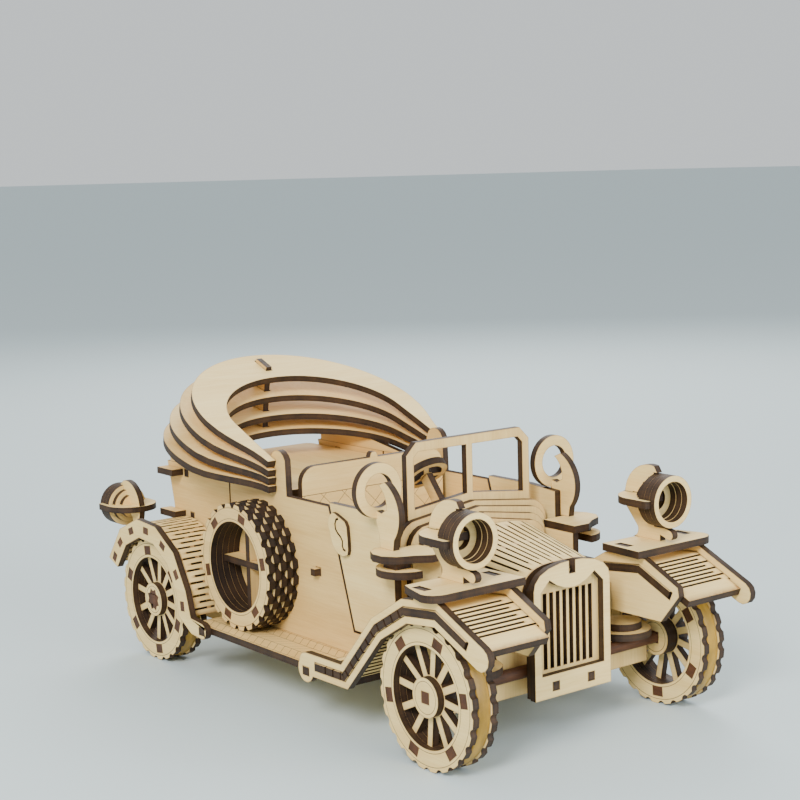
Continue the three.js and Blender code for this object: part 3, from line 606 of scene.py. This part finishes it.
def rubberMaterial():
    material, tree, shader = startMaterial("amberRubber")
    place = objectPosition(tree)
    cloud = noise(tree, place, (70, 220, 70), 3, 0.5)
    dust = noise(tree, place, (900, 1400, 900), 3, 0.7)
    tint = blendColour(tree, ramp(tree, cloud, 0.3, 0.7), colour("ad8422"), colour("80600f"))
    dusty = math2(tree, "MULTIPLY", ramp(tree, dust, 0.55, 0.8), 0.3)
    tint = blendColour(tree, dusty, tint, colour("b8994c"))
    tree.links.new(tint, shader.inputs["Base Color"])
    tree.links.new(math2(tree, "ADD", math2(tree, "MULTIPLY", dust, 0.25), 0.3), shader.inputs["Roughness"])
    shader.inputs["Subsurface Weight"].default_value = 0.12
    shader.inputs["Subsurface Radius"].default_value = (0.0025, 0.0015, 0.0004)
    bump = tree.nodes.new("ShaderNodeBump")
    bump.inputs["Strength"].default_value = 0.2
    bump.inputs["Distance"].default_value = 0.00015
    tree.links.new(dust, bump.inputs["Height"])
    tree.links.new(bump.outputs[0], shader.inputs["Normal"])
    return material


rubber = rubberMaterial()


def bandMesh(cx):
    s = rubberBand
    corners = []
    for r, y, start in ((s["outer"] - s["round"], s["half"] - s["round"], 0),
                        (s["inner"] + s["round"], s["half"] - s["round"], 90),
                        (s["inner"] + s["round"], s["round"] - s["half"], 180),
                        (s["outer"] - s["round"], s["round"] - s["half"], 270)):
        corners += arc(r, y, s["round"], s["round"], start, start + 90, 4)
    bm = bmesh.new()
    profile = [bm.verts.new(Vector((cx + r, s["middle"] + y, axleHeight)) * mm) for r, y in corners]
    loop = [bm.edges.new((profile[i - 1], profile[i])) for i in range(len(profile))]
    bmesh.ops.spin(bm, geom=profile + loop, cent=Vector((cx, 0, axleHeight)) * mm, axis=(0, 1, 0),
                   angle=math.radians(360), steps=s["steps"], use_merge=True)
    bmesh.ops.remove_doubles(bm, verts=bm.verts, dist=0.001 * mm)
    bmesh.ops.recalc_face_normals(bm, faces=bm.faces)
    return bm


for end, cx in (("front", frontAxle), ("rear", rearAxle)):
    placePair(bandMesh(cx), "stretched_band_" + end, end + "_wheelset", [rubber],
              ["rubber_band_" + end], 50)


# folded top
foldedTop = {"pivot": -27.3, "heights": (99.1, 94.8, 91.2, 87.4), "angles": (21.9, 17.2, 12.3, 9.2),
             "reach": (56, 68, 77, 81), "half": (56.4, 58.8, 61.2, 63.6), "slot": (75.5, 86.5, 1.8)}
innerCurve = [(-3, 44.9), (8, 45.05), (16, 45.05), (23, 44.9)] + arc(30, 0, 38.8, 44.8, 90, 0, 28)
slotNear, slotFar, slotHalf = foldedTop["slot"]
ribSlot = box(-slotFar, -slotNear, -slotHalf, slotHalf)


def ribLoop(reach, half):
    wide = half - 56.4
    outer = [(-3, 48.8), (2, 49.3), (7, 50.2 + wide * 0.12), (12, 51.6 + wide * 0.28),
             (17, 53.2 + wide * 0.48), (22, 54.6 + wide * 0.68), (28, 55.8 + wide * 0.88)]
    outer += arc(36, 0, reach, half, 90, 0, 36)
    return [(-u, y) for u, y in outer + [(u, -y) for u, y in reversed(outer[:-1])]
            + [(u, -y) for u, y in innerCurve] + innerCurve[-2::-1]]


for number in range(1, 5):
    settings = [foldedTop[key][number - 1] for key in ("heights", "angles", "reach", "half")]
    height, angle, reach, half = settings
    bm = newTarget()
    place = Matrix.Translation(Vector((foldedTop["pivot"], 0, height)) * mm) @ Matrix.Rotation(
        math.radians(angle), 4, "Y")
    addPlate(bm, zAxis, -1.5, [ribLoop(reach, half), ribSlot], move=place)
    placePiece(bm, f"top_rib_{number}_cut", "chassis",
               [faces["flatPale" if number % 2 else "flat"], edges[zAxis]], [f"top_rib_{number}"])
print("bands and folded top made")


# steering wheel
steering = {"hub": (39.0, -12.5, 97.5), "column": (0.640184, 0.0, -0.768221), "rim": 9.6, "inside": 7.0,
            "boss": 2.7, "spokeWidth": 2.3}
lean = Vector((0, 0, -1)).rotation_difference(Vector(steering["column"])).to_matrix().to_4x4()
bm = newTarget()
addPlate(bm, zAxis, -1.5, [circle(0, 0, steering["rim"]), *spokeWindows(
    0, 0, steering["boss"], steering["inside"], 3, steering["spokeWidth"], 30)],
    move=Matrix.Translation(Vector(steering["hub"]) * mm) @ lean)
placePiece(bm, "steering_wheel_cut", "steering", [faces["flat"], edges[zAxis]], ["steering_wheel"])


# lamps
lamp = {"face": 119.0, "side": -51.4, "height": 87.0, "foot": 70.3,
        "discs": ((3, 10.7, 8.2), (6, 10.7, 8.0), (9, 10.7, 7.7), (12, 8.5, 4.6), (15, 6.0, 0))}


def lampDiscs(target, x, y, z, slot):
    for back, radius, hole in lamp["discs"]:
        loops = [circle(y, z, radius)] + ([circle(y, z, hole)] if hole else [])
        addPlate(target, xAxis, x - back + 0.04, loops, 2.92, slot, 0.35)


def levelPlate(target, x, y, z, notch, slot):
    side = [(x - 2, 9.7), (x - 2, 12.2)] + arc(x - 3.5, 11.5, 1.5, 1.5, 30, 90, 3) + [(x - 8, 13)]
    side += arc(x - 13, 0, 13, 13, 84, 180, 16)[:-1]
    tail = [(x - 26, 1.8), (x - 26 + notch, 1.8)] if notch else [(x - 26, 0)]
    right = side + tail
    whole = [(px, y - v) for px, v in right] + [(px, y + v) for px, v in reversed(right) if v > 0]
    whole += [(x - 10, y + 9.7), (x - 10, y - 9.7)]
    addPlate(target, zAxis, z - 1.5, [whole], 3, slot, 0.35)


def yokeLoop(x, z, foot):
    below = [(3, 11.1), (9.3, 11.1), (9.3, 8.9), (12.3, 8.9),
             (12.3, 6.4), (15.4, 6.4), (15.4, 1.8), (21.3, 1.8)]
    above = below[:0:-1] + [(7.4, 11.1)]
    steps = [(x - back, z - down) for back, down in below] + [(x - back, z + up) for back, up in above]
    return (arc(x - 12, z, 14, 14, 78, 200, 26) + arc(x - 21.6, foot + 3.2, 3.2, 3.2, 60, -90, 8)[2:]
            + [(x - 6, foot), (x - 6, foot + 2.6)] + arc(x - 1, foot + 3, 2, 2, -90, 80, 8) + steps)


lampMaterials = [faces["crossPale"], edges[xAxis], faces["flatPale"], edges[zAxis]]
bm = newTarget()
lampDiscs(bm, lamp["face"], lamp["side"], lamp["height"], 0)
levelPlate(bm, lamp["face"], lamp["side"], lamp["height"], 5, 2)
placePair(bm, "headlamp_discs", "chassis", lampMaterials, ["headlamp_rings"])
bm = newTarget()
addPlate(bm, yAxis, lamp["side"] - 1.5, [yokeLoop(lamp["face"], lamp["height"], lamp["foot"])], 3, 0, 0.35)
placePair(bm, "headlamp_yoke_cut", "chassis", [faces["sidePale"], edges[yAxis]],
          ["headlamp_yoke"])
rearLamp = {"face": -146.6, "side": -57.0, "height": 66.0, "size": 0.92}
bm = newTarget()
lampDiscs(bm, 0, 0, 0, 0)
levelPlate(bm, 0, 0, 0, 0, 2)
yoke = arc(-12, 0, 13.4, 13.4, 78, 215, 26) + [(-24.5, -12.5), (-19.5, -12.5), (-17, -5),
                                               (-9, 0), (-9, 9.5), (-6, 9.5), (-6, 10.9)]
addPlate(bm, yAxis, -1.5, [yoke], 3, 4, 0.35)
bmesh.ops.transform(bm, verts=bm.verts, matrix=Matrix.Translation(
    Vector((rearLamp["face"], rearLamp["side"], rearLamp["height"])) * mm)
    @ Matrix.Rotation(math.pi, 4, "Z") @ Matrix.Scale(rearLamp["size"], 4))
placePair(bm, "rear_lamp_cut", "chassis", lampMaterials + [faces["sidePale"], edges[yAxis]],
          ["rear_lamp"])


# scroll brackets
scroll = {"ring": (-46.6, 96.6), "ringX": 50.4, "outer": 11.2, "hole": 6.8, "side": -48.1, "foot": 74.0}
crescent = arc(51, 87.6, 17, 15, 62, -38, 30)
crescent += [(63.6, scroll["foot"]), (55, scroll["foot"]), (54.6, 79), (52, 86.6), (52, 89), (56.5, 88)]
crescent += arc(50.5, 90, 9.6, 10.4, 0, 62, 16)
bm = newTarget()
addPlate(bm, yAxis, scroll["side"], [crescent])
ringLoops = [circle(*scroll["ring"], scroll[edge]) for edge in ("outer", "hole")]
addPlate(bm, xAxis, scroll["ringX"], ringLoops, slot=2)
placePair(bm, "scroll_bracket_cut", "chassis",
          [faces["sidePale"], edges[yAxis], faces["crossPale"], edges[xAxis]], ["scroll_bracket"])


# door handles, shelf tabs and fender tenons
def stripLoop(path, half):  # a narrow band along a path
    near, far = [], []
    for i, (a, b) in enumerate(path):
        (fromA, fromB), (toA, toB) = path[max(i - 1, 0)], path[min(i + 1, len(path) - 1)]
        length = math.hypot(toA - fromA, toB - fromB)
        na, nb = (fromB - toB) / length * half, (toA - fromA) / length * half
        near.append((a + na, b + nb))
        far.append((a - na, b - nb))
    return near + far[::-1]


doorHandle = {"thickness": 1.6, "groove": 0.42,
              "outline": [(21.5, 82.6), (19.4, 82.9), (17.4, 81.6), (16.2, 79.5), (15.9, 76.8), (17.1, 74.6),
                          (17.5, 72.4), (18.6, 69.8), (20.4, 67.4), (22.8, 66), (26, 65.4), (29.2, 66.4),
                          (29.9, 68.4), (29.8, 73), (29.3, 78.2), (28, 80.2), (25, 81.4)],
              "curve": [(23.4, 80.9), (21.9, 80.2), (21.1, 78.4), (21.4, 76.2), (22.9, 74.7), (24.8, 73.5),
                        (26.1, 71.8), (25.9, 69.8), (26.6, 68.5), (28, 68.1)]}
bm = newTarget()
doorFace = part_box("door_right")[0][1] / mm
handleLoops = [doorHandle["outline"], stripLoop(doorHandle["curve"], doorHandle["groove"])]
addPlate(bm, yAxis, doorFace - doorHandle["thickness"] - 0.02, handleLoops, doorHandle["thickness"], halo=0.3)
placePair(bm, "door_handle", "chassis", [faces["sidePale"], edges[yAxis]], [])

shelfTabs = {"low": (-118.0, -104.0, 63.4), "high": (-119.0, -105.0, 83.0), "side": (-50.4, -44.6)}
bm = newTarget()
for key in ("low", "high"):
    rear, front, low = shelfTabs[key]
    addPlate(bm, zAxis, low, [box(rear, front, *shelfTabs["side"])])
placePair(bm, "shelf_tabs", "chassis", [faces["flat"], edges[zAxis]], [])

topRests = {"front": -46.0, "rear": -116.5, "low": 88.45, "frontTop": 88.8, "rearTop": 100.05, "side": -44.5}
bm = newTarget()
wedge = [(topRests["front"], topRests["low"]), (topRests["front"], topRests["frontTop"]),
         (topRests["rear"], topRests["rearTop"]), (topRests["rear"], topRests["low"])]
addPlate(bm, yAxis, topRests["side"], [wedge], halo=0.12)
placePair(bm, "top_rests", "chassis", [faces["side"], edges[yAxis]], [])

fenderTenons = {"centre": (rearAxle, axleHeight), "radius": 33.2, "angles": (151, 134, 111, 86, 59, 31, 6),
                "size": (3.2, 4.4), "proud": 0.12, "deep": 1.0}
bm = newTarget()
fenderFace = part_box("rear_fender_outer_right")[0][1] / mm
wide, tall = (size / 2 for size in fenderTenons["size"])
for angle in fenderTenons["angles"]:
    tenon = turned([(fenderTenons["radius"] + a, b) for a, b in box(-wide, wide, -tall, tall)], angle,
                   *fenderTenons["centre"])
    addPlate(bm, yAxis, fenderFace - fenderTenons["proud"], [tenon], fenderTenons["deep"], halo=0.25)
placePair(bm, "fender_tenons", "chassis", [endGrain, endGrain], [])


# front axle beam with its leaf discs
beam = {"x": 98.5, "disc": (100.5, 40.0), "radii": (12.0, 8.0), "low": 31.0}
half = [(7.5, 17.5), (7.5, 34.3), (11.1, 34.3), (11.1, 17.5), (53, 17.5), (53, 24.3), (27.5, 24.3)]
half += arc(43.5, 32, 15.5, 12, 205, 140, 14) + [(33, 54)]
bm = newTarget()
addPlate(bm, xAxis, beam["x"], [half + [(-y, z) for y, z in reversed(half)]])
for side in (1, -1):
    for level, radius in enumerate(beam["radii"]):
        disc = circle(beam["disc"][0], side * beam["disc"][1], radius)
        addPlate(bm, zAxis, beam["low"] + 3 * level + 0.03, [disc], 2.94, 2)
placePiece(bm, "front_axle_beam_cut", "chassis",
           [faces["cross"], edges[xAxis], faces["flat"], edges[zAxis]], ["front_axle_beam"])
print("lamps, scrolls and beam made")


# sheets bent at rows of cuts
def bentSheet(name, surface, rows, columns, keep, cuts, materials, nodes, pair=True):
    # surface(u, v, level) is a point of the lower or upper side, keep(u, v) is false in a cut
    across, along = len(rows) - 1, len(columns) - 1
    bm = newTarget()
    rowAt, columnAt = bm.verts.layers.float.new("rowAt"), bm.verts.layers.float.new("columnAt")
    upper = bm.verts.layers.float.new("upper")
    bmesh.ops.create_grid(bm, x_segments=across, y_segments=along, size=1)
    for vert in bm.verts:
        vert[rowAt] = rows[round((vert.co.x + 1) / 2 * across)]
        vert[columnAt] = columns[round((vert.co.y + 1) / 2 * along)]

    def middle(face):
        return [sum(v[place] for v in face.verts) / len(face.verts) for place in (rowAt, columnAt)]

    bmesh.ops.delete(bm, geom=[f for f in bm.faces if not keep(*middle(f))], context="FACES")
    raised = bmesh.ops.extrude_face_region(bm, geom=list(bm.faces))
    for part in raised["geom"]:
        if isinstance(part, bmesh.types.BMVert):
            part[upper] = 1.0
    for vert in bm.verts:
        vert.co = Vector(surface(vert[rowAt], vert[columnAt], vert[upper])) * mm
    bmesh.ops.recalc_face_normals(bm, faces=bm.faces)
    burn, sheets = bm.verts.layers.float["scorch"], bm.verts.layers.float["sheets"]
    for face in bm.faces:
        levels = {vert[upper] for vert in face.verts}
        face.material_index = 1 if len(levels) > 1 else 0
    for vert in bm.verts:
        vert[burn] = float(any(face.material_index for face in vert.link_faces)) * cuts["toast"]
        vert[sheets] = vert[upper]
    if pair:
        placePair(bm, name, "chassis", materials, nodes, 40)
    else:
        placePiece(bm, name, "chassis", materials, nodes, 40)


def cutLines(middles, kerf, border):
    return [m + side * (kerf / 2 + extra) for m in middles for side in (-1, 1) for extra in (0, border)]


def sortedLines(values, step):  # one line per value, and fillers no further apart than step
    lines = []
    for value in sorted(values):
        if lines and value - lines[-1] < 0.02:
            continue
        if lines and value - lines[-1] > step:
            count = math.ceil((value - lines[-1]) / step)
            lines += [lines[-1] + (value - lines[-1]) * i / count for i in range(1, count)]
        lines.append(value)
    return lines


def cutTest(middles, kerf, patterns, allowed):
    def keep(u, v):
        if not allowed(u, v):
            return False
        for i, m in enumerate(middles):
            if abs(u - m) < kerf / 2 and any(low < v < high for low, high in patterns[i % len(patterns)]):
                return False
        return True
    return keep


def followPath(path):
    lengths = [0.0]
    for (ax, az), (bx, bz) in zip(path, path[1:]):
        lengths.append(lengths[-1] + math.hypot(bx - ax, bz - az))

    def at(s):
        i = max(1, next((k for k, length in enumerate(lengths) if length >= s - 1e-6), len(path) - 1))
        (ax, az), (bx, bz) = path[i - 1], path[i]
        t = (s - lengths[i - 1]) / (lengths[i] - lengths[i - 1])
        dx, dz = (bx - ax) / (lengths[i] - lengths[i - 1]), (bz - az) / (lengths[i] - lengths[i - 1])
        normal = Vector((-dz, dx))
        if abs(s - lengths[i]) < 0.01 and i + 1 < len(path):
            (cx, cz) = path[i + 1]
            nextNormal = Vector((bz - cz, cx - bx)).normalized()
            mean = (normal + nextNormal).normalized()
            normal = mean / mean.dot(normal)
        return ax + (bx - ax) * t, az + (bz - az) * t, normal

    def lengthAt(x):
        for i, ((ax, az), (bx, bz)) in enumerate(zip(path, path[1:])):
            if ax <= x <= bx:
                return lengths[i] + (lengths[i + 1] - lengths[i]) * (x - ax) / (bx - ax)
    return at, lengthAt, lengths


frontSheet = {"path": [(31, 26.2), (58, 26.4), (80, 50), (98, 60.3), (117, 62.3), (142, 51)], "kerf": 0.95,
              "sides": (-69.5, -33.3), "bodySide": -44.8, "tongue": (-66.2, -36.6), "toast": 1.0,
              "start": 38, "bodyX": 60.3, "tongueX": 134, "tip": 141}
at, lengthAt, lengths = followPath(frontSheet["path"])
slopeCuts = [lengthAt(118.6) + 2.3 * i for i in range(8)]
rearCuts = [lengthAt(43) + 2.6 * i for i in range(26)]
middles = rearCuts + slopeCuts
frontPatterns = [[(-64.5, -38)], [(-70, -53), (-50.5, -33)]]
slopePatterns = [[(-66.5, -40)], [(-63, -36)]]
cutPatterns = [frontPatterns[i % 2] for i in range(len(rearCuts))]
cutPatterns += [slopePatterns[i % 2] for i in range(len(slopeCuts))]
startAt, bodyAt, tongueAt, tipAt = (lengthAt(frontSheet[k]) for k in ("start", "bodyX", "tongueX", "tip"))
rows = sortedLines([startAt, bodyAt, tongueAt, tipAt, *[v for v in lengths if startAt < v < tipAt],
                    *cutLines(middles, frontSheet["kerf"], 0.3)], 4)
columns = sortedLines([*frontSheet["sides"], frontSheet["bodySide"], *frontSheet["tongue"],
                       *[v for p in frontPatterns + slopePatterns for pair in p for v in pair]], 5)


def frontAllowed(u, v):
    outer, inner = frontSheet["tongue"]
    return not ((u < bodyAt and v > frontSheet["bodySide"]) or (u > tongueAt and not outer < v < inner))


def frontSurface(u, v, level):
    x, z, normal = at(u)
    lift = (level - 0.5) * 3
    return x + normal.x * lift, v, z + normal.y * lift


bentSheet("front_fender_skin", frontSurface, rows, columns,
          cutTest(middles, frontSheet["kerf"], cutPatterns, frontAllowed), frontSheet,
          [faces["flatPale"], edges[zAxis]], ["front_fender_sheet"])

rearSheet = {"centre": (rearAxle, axleHeight), "radius": 34.4, "angles": (157, -2), "kerf": 0.85,
             "toast": 1.0}
rearAngles = [153 - i * 4.7 for i in range(33)]
rearPatterns = [[(-65, -58.6), (-56.6, -50), (-48, -45.6)], [(-62, -54.3), (-52.3, -46.6)]]
kerfAngle = math.degrees(rearSheet["kerf"] / rearSheet["radius"])
rows = sortedLines([*rearSheet["angles"], *cutLines(rearAngles, kerfAngle, 0.5)], 4)
columns = sortedLines([-66.3, -44.9, *[v for p in rearPatterns for pair in p for v in pair]], 5)


def rearSurface(u, v, level):
    r = rearSheet["radius"] + (level - 0.5) * 3
    return (rearSheet["centre"][0] + r * math.cos(math.radians(u)), v,
            rearSheet["centre"][1] + r * math.sin(math.radians(u)))


bentSheet("rear_fender_skin", rearSurface, rows, columns,
          cutTest(rearAngles, kerfAngle, rearPatterns, lambda u, v: True), rearSheet,
          [faces["flatPale"], edges[zAxis]], ["rear_fender_sheet"])

bonnet = {"rear": (65.3, 28.5, 78.0, 56.0), "front": (108.2, 20.5, 69.8, 54.6), "bend": 0.62, "kerf": 0.85,
          "lines": 18, "toast": 1.0}


def archPoint(angle, share, inset):
    x, wide, crown, low = (a + (b - a) * share for a, b in zip(bonnet["rear"], bonnet["front"]))
    c, s = math.cos(angle), math.sin(angle)
    return (x, (wide - inset) * math.copysign(abs(c) ** bonnet["bend"], c),
            low + (crown - inset - low) * abs(s) ** bonnet["bend"])


fine = [math.pi * i / 400 for i in range(401)]
run = [0.0]
for a, b in zip(fine, fine[1:]):
    run.append(run[-1] + (Vector(archPoint(b, 0.5, 1.5)) - Vector(archPoint(a, 0.5, 1.5))).length)


def angleAt(distance):
    i = max(1, next((k for k, length in enumerate(run) if length >= distance), 400))
    return fine[i - 1] + (fine[i] - fine[i - 1]) * (distance - run[i - 1]) / (run[i] - run[i - 1])


def bonnetSurface(u, v, level):
    return archPoint(angleAt(min(max(u, 0.0), run[-1])), v, 3 * (1 - level))


bonnetMiddles = [run[-1] * (0.13 + 0.74 * i / (bonnet["lines"] - 1)) for i in range(bonnet["lines"])]
bonnetPatterns = [[(0.03, 0.475), (0.525, 0.97)], [(0.12, 0.88)]]
rows = sortedLines([0, run[-1], *cutLines(bonnetMiddles, bonnet["kerf"], 0.25)], 1.6)
columns = sortedLines([0, 1, *[v for p in bonnetPatterns for pair in p for v in pair]], 0.12)
bentSheet("bonnet_skin", bonnetSurface, rows, columns,
          cutTest(bonnetMiddles, bonnet["kerf"], bonnetPatterns, lambda u, v: True), bonnet,
          [faces["flatPale"], edges[zAxis]], ["bonnet_cover"], pair=False)
print("bent sheets made")


# axles stay as the frame has them
for node in ("front_axle", "rear_axle"):
    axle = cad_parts[node]
    for place in axle.material_slots:
        place.link = "OBJECT"
        place.material = endGrain


# floor
def paleFloor():
    material, shader = startMaterial("paleFloor")[::2]
    shader.inputs["Base Color"].default_value = (0.56, 0.66, 0.68, 1)
    shader.inputs["Roughness"].default_value = 0.75
    return material


bm = bmesh.new()
bmesh.ops.create_grid(bm, x_segments=1, y_segments=1, size=60)
floorMesh = bpy.data.meshes.new("floor")
bm.to_mesh(floorMesh)
bm.free()
floorMesh.materials.append(paleFloor())
floor = bpy.data.objects.new("floor", floorMesh)
bpy.context.scene.collection.objects.link(floor)

print("scene made")
